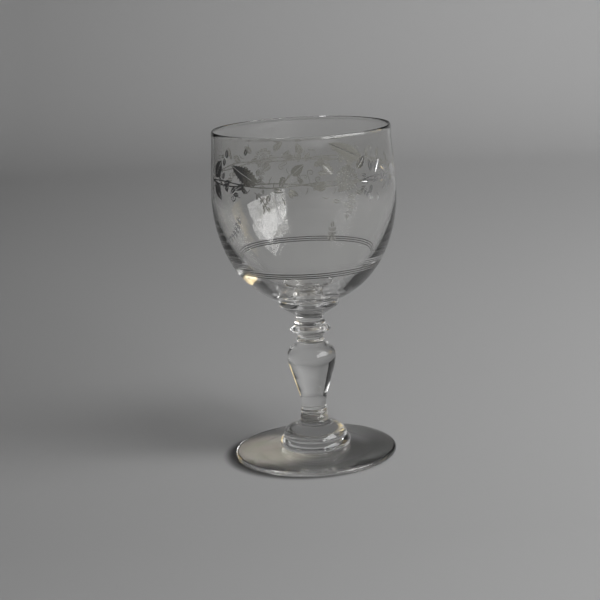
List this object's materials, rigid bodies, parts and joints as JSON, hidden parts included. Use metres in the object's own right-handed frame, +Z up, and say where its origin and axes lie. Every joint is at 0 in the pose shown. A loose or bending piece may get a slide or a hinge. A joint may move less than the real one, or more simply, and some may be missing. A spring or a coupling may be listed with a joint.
{
  "type": "stemmed wine glass",
  "caption": "Clear stemmed wine glass with a rounded bowl, a baluster stem with rings and a domed disc foot; engraved garland and fine lines round the bowl.",
  "frame": {"origin": "on the axis, in the plane the foot rests on", "axes": "+Z up along the axis of the glass, from the foot to the rim; X and Y lie in the resting plane"},
  "size_m": [0.0776, 0.0776, 0.1415],
  "materials": {
    "bowl_glass": "clear blown glass, wheel-engraved garland and three cut lines",
    "stem_glass": "clear fire-polished glass",
    "foot_glass": "clear glass with a faint warm grey tint, rubbed where it rests"
  },
  "bodies": {
    "root": {"foot_disc": "foot_glass", "foot_boss": "stem_glass", "stem_collar": "stem_glass", "baluster_stem": "stem_glass", "lower_neck": "stem_glass", "ring_knop": "stem_glass", "upper_neck": "stem_glass", "bowl_merese": "stem_glass", "bowl": "bowl_glass"}
  },
  "joints": []
}
